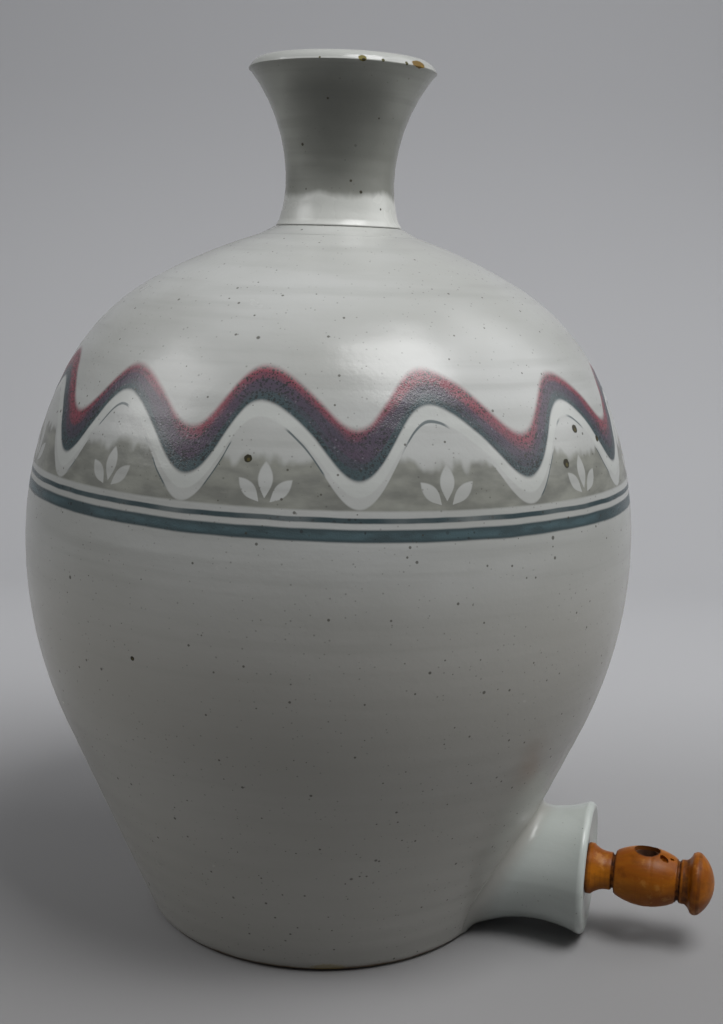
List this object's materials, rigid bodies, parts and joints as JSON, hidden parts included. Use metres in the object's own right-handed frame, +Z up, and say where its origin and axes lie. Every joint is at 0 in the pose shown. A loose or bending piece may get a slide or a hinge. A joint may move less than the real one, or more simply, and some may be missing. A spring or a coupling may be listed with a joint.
{
  "type": "ceramic wine dispenser",
  "caption": "Wide-shouldered glazed stoneware wine jar with a trumpet neck, a luted boss low on the wall and a turned wooden tap held in a cork bung.",
  "frame": {"origin": "centre of the foot, on the surface that the jar stands on", "axes": "+Z up along the jar's axis, +X along the tap's axis towards its knob"},
  "size_m": [0.285, 0.243, 0.3423],
  "materials": {
    "glaze": "glossy pale grey-green glaze over brown stoneware, with iron specks and painted bands",
    "cork": "natural cork, cut and sanded",
    "tap_wood": "turned hardwood, varnished orange-brown with dark grooves"
  },
  "bodies": {
    "jar": {"jar_base": "glaze", "jar_flank": "glaze", "jar_middle": "glaze", "jar_upper": "glaze", "neck": "glaze", "tap_boss": "glaze"},
    "stopper": {"neck_stopper": "cork"},
    "bung": {"tap_bung": "cork"},
    "tap": {"tap_body": "tap_wood", "key_liner": "cork"}
  },
  "joints": [
    {"name": "stopper_lift", "type": "slide", "parent": "jar", "child": "stopper", "axis": [0, 0, 1], "range_m": [0, 0.08]},
    {"name": "bung_draw", "type": "slide", "parent": "jar", "child": "bung", "axis": [1, 0, 0], "range_m": [0, 0.06]},
    {"name": "tap_turn", "type": "hinge", "parent": "bung", "child": "tap", "pos_m": [0.1, 0, 0.0275], "axis": [1, 0, 0], "continuous": true}
  ]
}
